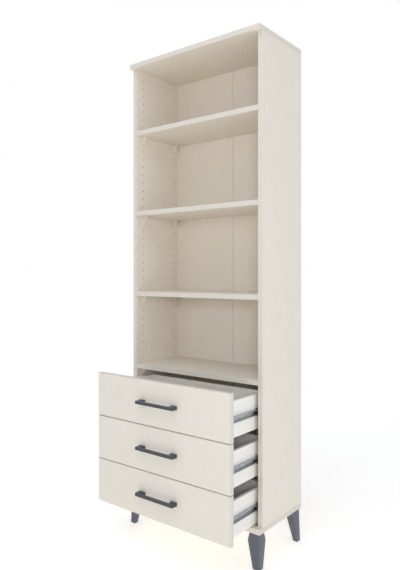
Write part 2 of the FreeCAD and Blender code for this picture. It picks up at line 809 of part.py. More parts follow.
# ---------------------------------------------------------------- write the legs
leg = front_right_leg()
glide = front_right_glide()
glides = []
for rear, row_name in ((False, "front"), (True, "rear")):
    for side, side_name in ((-1, "left"), (1, "right")):
        save("leg_" + row_name + "_" + side_name, [at_corner(leg, side, rear)])
        glides.append(at_corner(glide, side, rear))
save("leg_glides", glides)
save("leg_screws", leg_screws())

# ---------------------------------------------------------------- write the slides and drawers
rails = []
stops = []
rail_screws = []
for number, name in enumerate(drawer_names):
    base = lowest_front + number * front_step
    axis = slide_axis(number)
    rails.append(cabinet_rail(axis))
    stops.append(rail_stop(axis))
    rail_screws += [cabinet_screw(place, axis) for place in cabinet_screw_places]

    node = "drawer_" + name
    right = drawer_side(base)
    save(node + "_front", [drawer_front(base)])
    save(node + "_handle", [handle(base)])
    save(node + "_handle_screws", handle_screws(base))
    save(node + "_side_right", [right])
    save(node + "_side_left", [mirror_x(right)])
    save(node + "_back", [drawer_back(base)])
    save(node + "_bottom", [drawer_bottom(base)])
    save(node + "_cam_fittings", cam_fittings(base))
    save(node + "_box_screws", box_screws(base))
    save(node + "_rails", both_sides([drawer_rail(axis)]))
    save(node + "_rail_screws", both_sides([drawer_rail_screw(place, axis) for place in drawer_screw_places]))
    save(node + "_ball_cages", both_sides([ball_cage(axis)] + cage_balls(axis)))
save("cabinet_rails", both_sides(rails))
save("rail_stops", both_sides(stops))
save("cabinet_rail_screws", both_sides(rail_screws))
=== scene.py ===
# %% [markdown]
# A tall bookcase on four short legs, with three drawers below the shelves.
# The construction comes ready made: every board, screw and slide is a node with its place in its mesh.
# This lesson gives each of them the finish of the real piece, and makes the small fittings again in finer
# detail.  Everything is in metres, and the model's own box is kept so that the finished piece can be
# measured.

# %% Load the construction
import json
import math
import bmesh
import bpy
import numpy as np
from mathutils import Matrix, Vector

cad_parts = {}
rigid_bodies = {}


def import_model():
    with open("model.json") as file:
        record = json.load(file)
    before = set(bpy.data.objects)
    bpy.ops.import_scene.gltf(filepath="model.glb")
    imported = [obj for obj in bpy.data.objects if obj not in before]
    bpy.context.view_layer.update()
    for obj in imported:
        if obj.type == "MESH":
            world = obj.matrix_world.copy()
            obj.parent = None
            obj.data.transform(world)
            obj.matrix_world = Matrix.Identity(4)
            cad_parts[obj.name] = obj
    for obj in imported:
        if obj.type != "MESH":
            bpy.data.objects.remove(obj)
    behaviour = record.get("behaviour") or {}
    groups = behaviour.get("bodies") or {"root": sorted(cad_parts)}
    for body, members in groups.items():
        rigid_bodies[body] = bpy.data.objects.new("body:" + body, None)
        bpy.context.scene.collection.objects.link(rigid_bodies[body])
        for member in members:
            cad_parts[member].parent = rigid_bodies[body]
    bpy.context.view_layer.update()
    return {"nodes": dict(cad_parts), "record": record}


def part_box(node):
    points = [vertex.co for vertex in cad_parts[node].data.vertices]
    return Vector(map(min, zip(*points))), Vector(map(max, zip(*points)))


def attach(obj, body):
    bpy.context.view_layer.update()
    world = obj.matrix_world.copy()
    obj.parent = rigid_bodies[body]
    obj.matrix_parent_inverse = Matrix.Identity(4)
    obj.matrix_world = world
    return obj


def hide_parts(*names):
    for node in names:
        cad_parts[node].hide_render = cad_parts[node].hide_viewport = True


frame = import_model()
MM = 0.001
DRAWERS = ("bottom", "middle", "top")
BODIES = frame["record"]["behaviour"]["bodies"]
BODY_OF = {node: body for body, members in BODIES.items() for node in members}

# %% [markdown]
# The camera stands at chest height to the right of the piece and looks level, so all uprights stay upright.
# A level camera can't be tilted to centre a tall object.  The small lens shift does that, as on a view
# camera.

# %% Camera
IMAGE_WIDTH, IMAGE_HEIGHT = 400, 570
FOCAL_PIXELS = 562.0
MIDDLE_PIXEL = (183.6, 274.4)   # the pixel straight ahead of the camera
CAMERA_PLACE = (1.2816, -1.6506, 0.9859)
CAMERA_TURN = 39.2              # degrees, to the left of straight back


def new_object(name, data):
    """An object with this data, in the scene."""
    made = bpy.data.objects.new(name, data)
    bpy.context.scene.collection.objects.link(made)
    return made


optics = bpy.data.cameras.new("camera")
optics.sensor_width = 36.0      # millimetres, as the lens
optics.lens = optics.sensor_width * FOCAL_PIXELS / IMAGE_HEIGHT
optics.shift_x = (IMAGE_WIDTH / 2 - MIDDLE_PIXEL[0]) / IMAGE_HEIGHT
optics.shift_y = (MIDDLE_PIXEL[1] - IMAGE_HEIGHT / 2) / IMAGE_HEIGHT
camera = new_object("camera", optics)
camera.location = CAMERA_PLACE
camera.rotation_euler = (math.radians(90), 0, math.radians(CAMERA_TURN))
bpy.context.scene.camera = camera
shift = (optics.shift_x, optics.shift_y)
print("lens", round(optics.lens, 2), "shift", [round(x, 4) for x in shift])

# %% [markdown]
# Materials and shapes are both built from nodes here.  One helper adds every node: it sets the node's own
# settings, and fills its inputs with numbers or with what other nodes put out.
# Colours are written as they look on a screen, in hex, and one function turns them to the linear values
# that the renderer counts in.

# %% Helpers for nodes and colours
def fill(tree, node, inputs):
    """Fill inputs with numbers, colours, or nodes and their outputs; a list joins several into one."""
    for key, value in inputs.items():
        for source in value if isinstance(value, list) else [value]:
            if isinstance(source, bpy.types.Node):
                source = source.outputs[0]
            if isinstance(source, bpy.types.NodeSocket):
                tree.links.new(source, node.inputs[key])
            else:
                node.inputs[key].default_value = source


def add(tree, kind, inputs=None, **settings):
    """Add a node of this kind, with its settings and its inputs."""
    made = tree.nodes.new(kind)
    for name, value in settings.items():
        setattr(made, name, value)
    fill(tree, made, inputs or {})
    return made


def colour(hex_code):
    """An sRGB hex colour as linear red, green, blue and alpha."""
    channels = [int(hex_code[i:i + 2], 16) / 255 for i in (0, 2, 4)]
    return (*(c / 12.92 if c <= 0.04045 else ((c + 0.055) / 1.055) ** 2.4 for c in channels), 1.0)


def per_mm(size):
    """Scale of a pattern, in metres, whose features are this many millimetres across."""
    return 1 / (size * MM)


print("helpers ready, mid grey is", [round(c, 3) for c in colour("808080")])

# %% [markdown]
# The piece stands on a white sweep, as for a catalogue.  The world lights it evenly from all sides, so
# corners darken softly, and large soft lamps stand in front, to the right and above.  The one beside the
# camera is smaller: it shines into the narrow gaps between the drawers, which would look black otherwise.
# One more stands behind for the rear.  It is kept out of reflections, or it would glare on the upper faces
# of the drawer fronts.
# The surroundings look white because rays from the camera and reflections see a plain white world.  That
# way the backdrop's brightness has nothing to do with how much light falls on the boards.

# %% World and lamps
DAYLIGHT = "ECF4FF"
WHITE = "FFFFFF"
WORLD_LIGHT = 0.57
LAMPS = {                       # place, target, side in metres and power in watts
    "lamp_beside_camera": ((2.15, -2.75, 1.35), (0.0, 0.0, 0.7), 0.6, 26),
    "lamp_front_left": ((-0.9, -3.4, 1.5), (0.0, 0.0, 1.0), 2.0, 3),
    "lamp_right": ((3.0, -0.4, 0.5), (0.0, 0.0, 0.7), 1.6, 13),
    "lamp_above": ((0.5, -1.6, 3.2), (0.0, -0.4, 0.0), 1.8, 18),
    "lamp_behind": ((-2.4, 2.5, 1.3), (0.0, 0.1, 0.9), 2.0, 30),
}
world = bpy.data.worlds.new("white_room")
world.use_nodes = True
bpy.context.scene.world = world
tree = world.node_tree
tree.nodes.clear()
rays = add(tree, "ShaderNodeLightPath").outputs
seen = add(tree, "ShaderNodeMath", {0: rays["Is Camera Ray"], 1: rays["Is Glossy Ray"]}, operation="MAXIMUM")
seen = add(tree, "ShaderNodeMath", {0: seen, 1: rays["Is Transmission Ray"]}, operation="MAXIMUM")
lighting = add(tree, "ShaderNodeBackground", {"Color": colour(DAYLIGHT), "Strength": WORLD_LIGHT})
backdrop = add(tree, "ShaderNodeBackground", {"Color": colour(WHITE), "Strength": 1.0})
mixed = add(tree, "ShaderNodeMixShader", {0: seen, 1: lighting, 2: backdrop})
add(tree, "ShaderNodeOutputWorld", {"Surface": mixed})


def soft_lamp(name, place, target, side, power):
    """A square lamp that faces the target."""
    lamp = bpy.data.lights.new(name, "AREA")
    lamp.size = side
    lamp.energy = power
    lamp.color = colour(DAYLIGHT)[:3]
    holder = new_object(name, lamp)
    holder.location = place
    holder.rotation_euler = (Vector(target) - Vector(place)).to_track_quat("-Z", "Y").to_euler()
    return holder


lamps = {name: soft_lamp(name, *values) for name, values in LAMPS.items()}
lamps["lamp_behind"].visible_glossy = False
bpy.context.scene.view_settings.view_transform = "Standard"
print("world light", WORLD_LIGHT, "lamps", len(lamps))

# %% [markdown]
# The floor is a plain matt sheet that runs into the white backdrop.  Near the legs it is a real surface that
# takes their soft shadows.  Further out it fades to the same white as the backdrop, so no horizon line
# shows.  A sweep that is lit from behind glows a little by itself.  That glow reaches up under the shelves.

# %% Floor
FLOOR_HALF = 12.0
FLOOR_GLOW = 0.29               # light that the sweep gives to the piece
FLOOR_SEEN = 0.38               # and how bright that glow looks to the camera
FADE_START, FADE_END = 0.9, 2.6     # distances from the middle of the floor
bpy.ops.mesh.primitive_plane_add(size=2 * FLOOR_HALF)
floor = bpy.context.object
floor.name = "floor"
floor_material = bpy.data.materials.new("matt_white_floor")
floor_material.use_nodes = True
tree = floor_material.node_tree
tree.nodes.clear()
place = add(tree, "ShaderNodeTexCoord").outputs["Object"]
distance = add(tree, "ShaderNodeVectorMath", {0: place}, operation="LENGTH").outputs["Value"]
far = add(tree, "ShaderNodeMapRange", {"Value": distance, "From Min": FADE_START, "From Max": FADE_END},
          interpolation_type="SMOOTHSTEP")
seen = add(tree, "ShaderNodeLightPath").outputs["Is Camera Ray"]
faded = add(tree, "ShaderNodeMath", {0: far, 1: seen}, operation="MULTIPLY")
matt = add(tree, "ShaderNodeBsdfDiffuse", {"Color": colour("FAF4EB"), "Roughness": 0.0})
lift = add(tree, "ShaderNodeMapRange", {"Value": seen, "To Min": FLOOR_GLOW, "To Max": FLOOR_SEEN})
glow = add(tree, "ShaderNodeEmission", {"Color": colour(WHITE), "Strength": lift})
near = add(tree, "ShaderNodeAddShader", {0: matt, 1: glow})
white = add(tree, "ShaderNodeEmission", {"Color": colour(WHITE), "Strength": 1.0})
mixed = add(tree, "ShaderNodeMixShader", {0: faded, 1: near, 2: white})
add(tree, "ShaderNodeOutputMaterial", {"Surface": mixed})
floor.data.materials.append(floor_material)
print("floor half side", FLOOR_HALF, "m, fades from", FADE_START, "to", FADE_END)

# %% [markdown]
# Every finish below starts the same way: a new material, its main shader, and the object's own coordinates.
# Object coordinates are in metres and stay with the piece when a drawer runs out, so a pattern's scale is
# worked out from its real size.  Soft noise serves for most of what is uneven on a surface.  The last
# function puts a finish together: tones laid over each other, gloss and relief.

# %% Start of every finish
NOISE_LOW, NOISE_HIGH = 0.3, 0.7    # most of the noise lies between these


def new_finish(name):
    """A new material with its node tree, its shader and the coordinates that patterns read."""
    material = bpy.data.materials.new(name)
    material.use_nodes = True
    tree = material.node_tree
    place = add(tree, "ShaderNodeTexCoord").outputs["Object"]
    return material, tree, tree.nodes["Principled BSDF"], place


def mottle(tree, place, size, first=0.0, last=1.0, detail=3.0):
    """Soft noise with features of this many millimetres, as a value from first to last."""
    noise = add(tree, "ShaderNodeTexNoise", {"Vector": place, "Scale": per_mm(size), "Detail": detail})
    return add(tree, "ShaderNodeMapRange", {
        "Value": noise.outputs["Fac"], "From Min": NOISE_LOW, "From Max": NOISE_HIGH, "To Min": first,
        "To Max": last})


def cover(tree, surface, ground, *layers, rough, height=None, depth=0.0, **others):
    """Colour, gloss and relief of a finish.

    ground is a hex colour, and each layer over it is a share and a hex colour.  rough is a number or a
    pattern.  The relief follows the pattern height, depth millimetres deep.  others are more of the
    shader's inputs.
    """
    tone = colour(ground)
    for share, top in layers:
        tone = add(tree, "ShaderNodeMix", {0: share, 6: tone, 7: colour(top)}, data_type="RGBA").outputs[2]
    if height is not None:
        others["Normal"] = add(tree, "ShaderNodeBump", {"Height": height, "Distance": depth * MM})
    fill(tree, surface, {"Base Color": tone, "Roughness": rough, **others})


print("a pattern of 2 mm has a scale of", per_mm(2))

# %% [markdown]
# The boards are chipboard faced with melamine: paper soaked in resin and pressed on hot in a plate with a
# fine pearl texture.  The resin gives a dull, even sheen, and the pressed pearls break reflections up.  The
# pearls are about 0.5 mm apart, which is finer than the picture shows, so they are drawn 2 mm apart.

# %% Melamine board, cashmere
melamine, tree, surface, place = new_finish("melamine_cashmere_pressed")
clouds = mottle(tree, place, 70)
pearls = mottle(tree, place, 2.0, detail=1.0)
# The darker tone laid over the pearls is painted shade of their relief, not a colour of the paper.
faint = add(tree, "ShaderNodeMath", {0: pearls, 1: 0.08}, operation="MULTIPLY")
cover(tree, surface, "EAE1D2", (clouds, "E8DECF"), (faint, "DDD3C2"),
      rough=mottle(tree, place, 25, 0.46, 0.56), height=pearls, depth=0.03, IOR=1.5)
print(melamine.name, len(tree.nodes), "nodes")

# %% [markdown]
# The narrow faces carry ABS edging, 0.8 mm thick, glued on hot and rounded by a cutter.  It is extruded
# plastic, a little smoother than the melamine beside it, with fine lines from the die and from the cutter.
# The lines run upright, as they do on the long edges of the side panels.

# %% Edging
edging, tree, surface, place = new_finish("abs_edging_extruded")
drawn = add(tree, "ShaderNodeMapping", {"Vector": place, "Scale": (1.0, 1.0, 0.02)})
lines = mottle(tree, drawn, 1.5)
worn = mottle(tree, place, 60)
cover(tree, surface, "DED5C7", (worn, "DBD1C3"), (lines, "DCD3C5"),
      rough=mottle(tree, place, 18, 0.36, 0.48), height=lines, depth=0.02, IOR=1.53)
print(edging.name, len(tree.nodes), "nodes")

# %% [markdown]
# Rims that no one sees are left bare.  They show the pressed chips of spruce, pale and brown, with dark gaps
# between them.  Here a chip is about 2 mm across and 5 mm long, and lies as it does in an upright board.

# %% Raw chipboard
chipboard, tree, surface, place = new_finish("chipboard_sawn")
squashed = add(tree, "ShaderNodeMapping", {"Vector": place, "Scale": (1.6, 1.0, 0.45)})
chips = add(tree, "ShaderNodeTexVoronoi", {"Vector": squashed, "Scale": per_mm(2.4)}).outputs
tone = add(tree, "ShaderNodeSeparateColor", {"Color": chips["Color"]})
gaps = add(tree, "ShaderNodeMapRange",
           {"Value": chips["Distance"], "From Min": 0.45, "From Max": 0.8, "To Min": 0, "To Max": 0.6})
cover(tree, surface, "D6C3A0", (tone, "BFA47C"), (gaps, "7F6848"), rough=0.85, height=gaps, depth=-0.3)
print(chipboard.name, len(tree.nodes), "nodes")

# %% [markdown]
# The back is two thin sheets of hardboard.  Their front carries a lacquered paper in the colour of the
# boards, a little duller than melamine.  Their rear is bare: pressed brown fibre with lighter and darker
# flecks.

# %% Back sheet, front and rear
back_paper, tree, surface, place = new_finish("hardboard_lacquered_paper")
cover(tree, surface, "E8DDCD", (mottle(tree, place, 90), "E6DBCA"),
      rough=mottle(tree, place, 30, 0.58, 0.7), height=mottle(tree, place, 6), depth=0.04, IOR=1.48)

raw_fibre, tree, surface, place = new_finish("hardboard_bare_fibre")
patches = mottle(tree, place, 120)
flecks = mottle(tree, place, 3.0, detail=4.0)
cover(tree, surface, "A98A68", (patches, "9C7E5E"), (flecks, "8A6B4C"), rough=0.8, height=flecks, depth=0.08)
print(back_paper.name, raw_fibre.name)

# %% [markdown]
# The drawer boxes are thin fibreboard wrapped in white foil.  The foil is smoother and cooler in colour than
# the melamine, and under the foil the board's surface waves very slightly.

# %% White foil
white_foil, tree, surface, place = new_finish("fibreboard_white_foil")
cover(tree, surface, "F5F0E7", (mottle(tree, place, 45), "F2EDE3"),
      rough=mottle(tree, place, 20, 0.38, 0.5), height=mottle(tree, place, 9), depth=0.03, IOR=1.5)
print(white_foil.name)

# %% [markdown]
# Five plastics.  The joint strip is PVC and the screw caps are ABS, both in the colour of the boards.  The
# shelf supports are milky nylon.  The legs are ABS with a spark-eroded grain, their glides are polyethylene,
# and the stops of the slides are black acetal.  A grain of 0.2 mm is too fine for the picture, so it is
# drawn 1.2 mm wide.

# %% Plastics
GRAIN = 1.2                     # millimetres


def moulded(name, first, last, rough, ior=1.53, depth=0.03):
    """A moulded plastic: two close tones, uneven gloss and a fine grain from the mould."""
    material, tree, surface, place = new_finish(name)
    cover(tree, surface, first, (mottle(tree, place, 30), last),
          rough=mottle(tree, place, 8, rough - 0.05, rough + 0.05),
          height=mottle(tree, place, GRAIN, detail=1.0), depth=depth, IOR=ior)
    return material


strip_plastic = moulded("pvc_strip_foiled", "E8DDCD", "E6DBCA", 0.5)
# The strip's thin edges are dark as a painted shadow line along the joint, not the colour of a real core.
strip_edge_shadow = moulded("pvc_strip_core", "6B5E4E", "5E5244", 0.6)
cap_plastic = moulded("abs_cap_moulded", "E2DBD0", "DED6CA", 0.4)
support_plastic = moulded("nylon_support_moulded", "EFE6D6", "EAE0CE", 0.38)
leg_plastic = moulded("abs_leg_spark_grain", "5C5F68", "565962", 0.42, depth=0.05)
glide_plastic = moulded("polyethylene_glide", "2A2B2E", "242528", 0.5, ior=1.51)
stop_plastic = moulded("acetal_stop_moulded", "1B1B1D", "151517", 0.38, ior=1.48)
print("finishes so far", len(bpy.data.materials))

# %% [markdown]
# The handle is cast zinc with a graphite powder coat.  The coat is a thick matt paint with a faint metallic
# glint and the small waves of molten powder.

# %% Powder coat
powder_coat, tree, surface, place = new_finish("zinc_casting_powder_coated")
cover(tree, surface, "4C4F57", (mottle(tree, place, 14), "464951"),
      rough=mottle(tree, place, 6, 0.38, 0.5), height=mottle(tree, place, 1.6, detail=1.0), depth=0.04,
      Metallic=0.35)
print(powder_coat.name)

# %% [markdown]
# The slides are rolled from zinc-plated strip, so faint lines run along them.  Screws and cam bolts are
# plated too, brighter and bluish.  The balls are hard polished steel.  The dowels are turned beech, dull and
# warm, with paler and darker grain along the pin.

# %% Steels
LINE_WIDTH = 1.5                # millimetres


def plated(name, first, last, rough, stretch=(1.0, 1.0, 1.0)):
    """A bright metal with cloudy plating; a small number in stretch draws its lines out that way."""
    material, tree, surface, place = new_finish(name)
    drawn = add(tree, "ShaderNodeMapping", {"Vector": place, "Scale": stretch})
    lines = mottle(tree, drawn, LINE_WIDTH)
    clouds = mottle(tree, place, 12)
    cover(tree, surface, first, (clouds, last), (lines, last),
          rough=mottle(tree, drawn, LINE_WIDTH, rough - 0.07, rough + 0.07), height=lines, depth=0.01,
          Metallic=1.0)
    return material


slide_steel = plated("steel_strip_zinc_plated", "C6C8C9", "ACAFB1", 0.38, stretch=(1.0, 0.03, 1.0))
screw_steel = plated("steel_screw_zinc_plated", "C6C8CB", "AEB1B6", 0.28)
ball_steel = plated("steel_ball_polished", "D2D4D6", "C4C6C9", 0.12)
beech, tree, surface, place = new_finish("beech_turned_dowel")
along = add(tree, "ShaderNodeMapping", {"Vector": place, "Scale": (1.0, 1.0, 0.08)})
cover(tree, surface, "D8B98C", (mottle(tree, along, 1.2), "C29F70"), rough=0.6)
print("finishes so far", len(bpy.data.materials))

# %% [markdown]
# Each node takes the finish of its own slot.  Pieces that are made again below take theirs there.

# %% Finishes of the nodes
FINISH_OF_SLOT = {
    "cashmere_board": melamine, "back_sheet": back_paper, "white_board": white_foil,
    "strip_plastic": strip_plastic, "cap_plastic": cap_plastic, "support_plastic": support_plastic,
    "graphite_plastic": leg_plastic, "glide_plastic": glide_plastic, "stop_plastic": stop_plastic,
    "graphite_metal": powder_coat, "slide_steel": slide_steel, "zinc_screw": screw_steel, "beech": beech,
}
SLOT_OF = {}
for node, shape in frame["nodes"].items():
    SLOT_OF[node] = shape.material_slots[0].material.name
    shape.material_slots[0].material = FINISH_OF_SLOT[SLOT_OF[node]]
print("slots", sorted(set(SLOT_OF.values())))

# %% [markdown]
# A node's mesh is a heap of loose triangles, which can't be bevelled.  A copy of it is joined along its
# seams and its flat faces are made whole.  The copy can then be told where it is board, edging or sawn core,
# and a bevel can run round its outer edges.  The node itself stays hidden behind it.

# %% A clean copy of a node
SEAM_WIDTH = 0.002 * MM         # vertices nearer than this are one
BOX_TOLERANCE = 0.01 * MM
FLAT_ANGLE = math.radians(0.5)
FLAT_AREA = 1000 * MM ** 2      # a plane larger than this is shaded flat
SQUARE = 0.9999                 # a face looks straight along an axis if its normal reaches this


def joined(items, neighbours):
    """Groups of items that reach each other from neighbour to neighbour, in the same order each run."""
    left = dict.fromkeys(items)
    groups = []
    while left:
        group = [left.popitem()[0]]
        for item in group:
            for other in neighbours(item):
                if other in left:
                    del left[other]
                    group.append(other)
        groups.append(group)
    return groups


def flat_edges(face):
    """The edges over which the surface goes on flat."""
    return [edge for edge in face.edges
            if len(edge.link_faces) == 2 and edge.calc_face_angle() < FLAT_ANGLE]


def clean_copy(node):
    """The node's mesh, joined along its seams, with its simple flat faces made whole.

    A face with holes in it keeps its triangles, since no single polygon can have a hole.
    """
    shape = bmesh.new()
    shape.from_mesh(frame["nodes"][node].data)
    bmesh.ops.remove_doubles(shape, verts=shape.verts, dist=SEAM_WIDTH)
    inner = []
    for flat in joined(shape.faces, lambda face: [f for edge in flat_edges(face) for f in edge.link_faces]):
        corners = {vert for face in flat for vert in face.verts}
        if len(flat) == len(corners) - 2:
            inner += dict.fromkeys(edge for face in flat for edge in flat_edges(face))
    bmesh.ops.dissolve_limit(shape, angle_limit=FLAT_ANGLE, verts=[], edges=inner)
    return shape


def islands(shape):
    """The vertices of each separate solid."""
    return joined(shape.verts, lambda vert: [edge.other_vert(vert) for edge in vert.link_edges])


def settle(piece, sharp=35.0):
    """Turn the piece's modifiers into plain mesh and smooth what isn't a sharp edge."""
    result = bpy.data.meshes.new_from_object(piece.evaluated_get(bpy.context.evaluated_depsgraph_get()))
    piece.modifiers.clear()
    old = piece.data
    piece.data = result
    result.name = piece.name
    bpy.data.meshes.remove(old)
    result.shade_smooth()
    result.set_sharp_from_angle(angle=math.radians(sharp))
    planes = {}
    for face in result.polygons:
        axis = max(range(3), key=lambda a: abs(face.normal[a]))
        if abs(face.normal[axis]) > SQUARE:
            way = 1 if face.normal[axis] > 0 else -1
            planes.setdefault((axis, way, round(face.center[axis] / BOX_TOLERANCE)), []).append(face)
    for faces in planes.values():
        if sum(face.area for face in faces) > FLAT_AREA:
            for face in faces:
                face.use_smooth = False
    return piece


def round_off(piece, width, segments=2, finish=-1, by_angle=None):
    """Bevel the edges that carry a weight, or all that are sharper than an angle."""
    bevel = piece.modifiers.new("round_off", "BEVEL")
    bevel.width = width * MM
    bevel.segments = segments
    bevel.material = finish
    if by_angle is None:
        bevel.limit_method = "WEIGHT"
    else:
        bevel.limit_method = "ANGLE"
        bevel.angle_limit = math.radians(by_angle)


def stand_for(piece, node):
    """The piece moves with the node's body and is shown in its place."""
    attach(piece, BODY_OF[node])
    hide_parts(node)


def new_piece(shape, node, name, finishes, sharp=35.0, **bevel):
    """A piece made from a bmesh, with its finishes and perhaps a bevel, that stands for the node."""
    mesh = bpy.data.meshes.new(name)
    shape.to_mesh(mesh)
    shape.free()
    for finish in finishes:
        mesh.materials.append(finish)
    piece = new_object(name, mesh)
    if bevel:
        round_off(piece, **bevel)
    settle(piece, sharp)
    stand_for(piece, node)
    return piece


def count(start):
    """How many objects have a name that starts so."""
    return sum(piece.name.startswith(start) for piece in bpy.data.objects)


print("tolerance", BOX_TOLERANCE, "m")

# %% [markdown]
# A board is a sandwich.  Its two large faces are melamine, its narrow faces carry edging or are left as sawn
# chipboard, and every drilled hole and groove shows the brown core.  Which is which follows from a face's
# place: on the board's box across its thickness, on the box's rim, or inside.

# %% Boards
X, Y, Z = range(3)
FACE, EDGE, CORE = range(3)     # the order of a board's finishes
CURVED = 0.999                  # no part of a curved face's normal is larger
SHORT_EDGE = 3 * MM             # a shorter edge isn't rounded


def dress_board(node, name, finishes, across, raw=(), corner=2.56, radius=0.5):
    """A board's three finishes by place, and its outer edges rounded.

    across is the axis of the thickness; raw lists the rims left bare, as (axis, -1 or 1).  A curved face
    nearer than corner to two sides of the box is edging.  corner and radius are in millimetres.
    """
    shape = clean_copy(node)
    low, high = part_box(node)
    weight = shape.edges.layers.float.new("bevel_weight_edge")

    def rims_of(verts):
        """The sides of the box that all of these vertices lie on."""
        return [(axis, way) for axis in range(3) for way, side in ((-1, low), (1, high))
                if all(abs(vert.co[axis] - side[axis]) < BOX_TOLERANCE for vert in verts)]

    for face in shape.faces:
        face.material_index = CORE
        rims = rims_of(face.verts)
        if any(axis == across for axis, _ in rims):
            face.material_index = FACE
        elif rims:
            face.material_index = CORE if rims[0] in raw else EDGE
        elif max(abs(x) for x in face.normal) < CURVED:
            spot = face.calc_center_median()
            near = [axis for axis in range(3)
                    if min(spot[axis] - low[axis], high[axis] - spot[axis]) < corner * MM]
            face.material_index = EDGE if len(near) >= 2 else CORE
    for edge in shape.edges:
        if len(rims_of(edge.verts)) >= 2 and edge.calc_length() > SHORT_EDGE:
            edge[weight] = 1.0
    return new_piece(shape, node, name, finishes, width=radius, finish=EDGE)


REAR, ENDS = (Y, 1), ((Z, -1), (Z, 1))
BOARD = (melamine, edging, chipboard)
boards = [dress_board(f"{name}_panel", f"board_{name}", BOARD, Z, raw=(REAR,)) for name in ("top", "bottom")]
boards += [dress_board(f"side_panel_{name}", f"board_side_{name}", BOARD, X, raw=(REAR, *ENDS))
           for name in ("right", "left")]
boards += [dress_board(f"shelf_{name}", f"board_shelf_{name}", BOARD, Z, raw=(REAR,))
           for name in ("above_drawers", "lower", "middle", "upper")]
boards += [dress_board(f"drawer_{name}_front", f"board_drawer_{name}_front", BOARD, Y, corner=8.0)
           for name in DRAWERS]
print("boards", len(boards), "faces", [len(piece.data.polygons) for piece in boards])

# %% [markdown]
# The back sheets show lacquered paper to the front and bare fibre to the rear and on their rims.  The strip
# between them is foiled on its flat faces, and its thin edges are painted dark as a shadow line along the
# joint.

# %% Back sheets and joint strip
FACING = 0.9                    # a face looks along an axis if its normal reaches this


def dress_by_facing(node, name, first, second, test):
    """A piece that has its first finish on the faces that pass a test, and its second on the others."""
    shape = clean_copy(node)
    for face in shape.faces:
        face.material_index = 0 if test(face.normal) else 1
    new_piece(shape, node, name, (first, second))


for name in ("left", "right"):
    dress_by_facing(f"back_panel_{name}", f"sheet_back_{name}", back_paper, raw_fibre,
                    lambda normal: normal.y < -FACING)
dress_by_facing("back_joint_strip", "strip_back_joint", strip_plastic, strip_edge_shadow,
                lambda normal: abs(normal.y) > FACING)

# %% [markdown]
# The drawer boxes are cut from long foiled strips.  Faces and long edges are white, rounded a little where
# hands reach in, while sawn ends, grooves and drilled holes show brown fibreboard.

# %% Drawer boxes
fibreboard, tree, surface, place = new_finish("fibreboard_sawn")
cover(tree, surface, "B89770", (mottle(tree, place, 1.5), "9F7F5B"), rough=0.85)
FOILED = (white_foil, white_foil, fibreboard)
for name in DRAWERS:
    for part, across, along in (("side_left", X, Y), ("side_right", X, Y), ("back", Y, X)):
        node = f"drawer_{name}_{part}"
        dress_board(node, f"foiled_{node}", FOILED, across, raw=((along, -1), (along, 1)), radius=1.2)
    node = f"drawer_{name}_bottom"
    dress_by_facing(node, f"foiled_{node}", white_foil, raw_fibre, lambda normal: abs(normal.z) > FACING)
print("foiled boards", count("foiled_"))

# %% [markdown]
# Cast and moulded parts have no sharp edges: molten zinc and plastic don't fill a sharp corner, and a coat
# rounds it more.  A bevel on every edge gives the soft outline and the thin line of light along it.

# %% Handles and legs
def soften(node, name, radius, finish, angle=18.0, segments=3, keep=None):
    """A cast, moulded or rolled piece with its edges rounded; keep picks the node's solids by their size."""
    shape = clean_copy(node)
    for solid in islands(shape) if keep else ():
        if not keep(np.ptp([vert.co for vert in solid], axis=0)):
            bmesh.ops.delete(shape, geom=solid, context="VERTS")
    new_piece(shape, node, name, (finish,), sharp=50.0, width=radius, segments=segments, by_angle=angle)


for name in DRAWERS:
    soften(f"drawer_{name}_handle", f"cast_handle_{name}", 0.9, powder_coat)
for name in ("front_left", "front_right", "rear_left", "rear_right"):
    soften(f"leg_{name}", f"moulded_leg_{name}", 0.8, leg_plastic)
soften("leg_glides", "moulded_glides", 0.7, glide_plastic, angle=50)
soften("screw_caps", "moulded_caps", 0.45, cap_plastic, angle=50)
soften("rail_stops", "moulded_stops", 0.5, stop_plastic, angle=40)
print("handles", count("cast_handle_"), "legs", count("moulded_leg_"))

# %% [markdown]
# A slide is rolled from strip, and the tools leave every edge a little rounded.  The thin line of light on
# those edges is what tells rolled steel from a painted bar.  The cages between the rails are stamped.

# %% Rails and ball cages
LONG = 20 * MM


def is_long(size):
    """Cages and cam bolts are long from front to back; the balls and discs in their nodes aren't."""
    return size[Y] > LONG


soften("cabinet_rails", "rolled_rails_cabinet", 0.2, slide_steel, angle=50, segments=2)
for name in DRAWERS:
    soften(f"drawer_{name}_rails", f"rolled_rails_{name}", 0.2, slide_steel, angle=50, segments=2)
    soften(f"drawer_{name}_ball_cages", f"stamped_cages_{name}", 0.12, slide_steel, angle=50, segments=1,
           keep=is_long)
print("rails", count("rolled_rails_"), "cages", count("stamped_cages_"))

# %% [markdown]
# Screws, pins and balls repeat, so each kind is drawn once as a small geometry tree and set down wherever
# the construction has one.  The tree's inputs are the sizes on the maker's drawing.  The places come from
# the node itself: every loose solid in it is measured, its odd side is its axis, and its wider end is its
# head.

# %% Places of the fittings
END_DEPTH = 0.05 * MM           # points this near to an end belong to it
SAME_WIDTH = 0.01 * MM          # ends that differ by less are equally wide


def solids_of(node):
    """The vertex places of each separate solid of a node."""
    shape = clean_copy(node)
    solids = [np.array([vert.co for vert in solid]) for solid in islands(shape)]
    shape.free()
    return sorted(solids, key=lambda points: tuple(points.min(axis=0).round(5)))


def short_boxes(node):
    """Lowest and highest corner of each separate solid of a node that isn't long."""
    boxes = [(points.min(axis=0), points.max(axis=0)) for points in solids_of(node)]
    return [(low, high) for low, high in boxes if not is_long(high - low)]


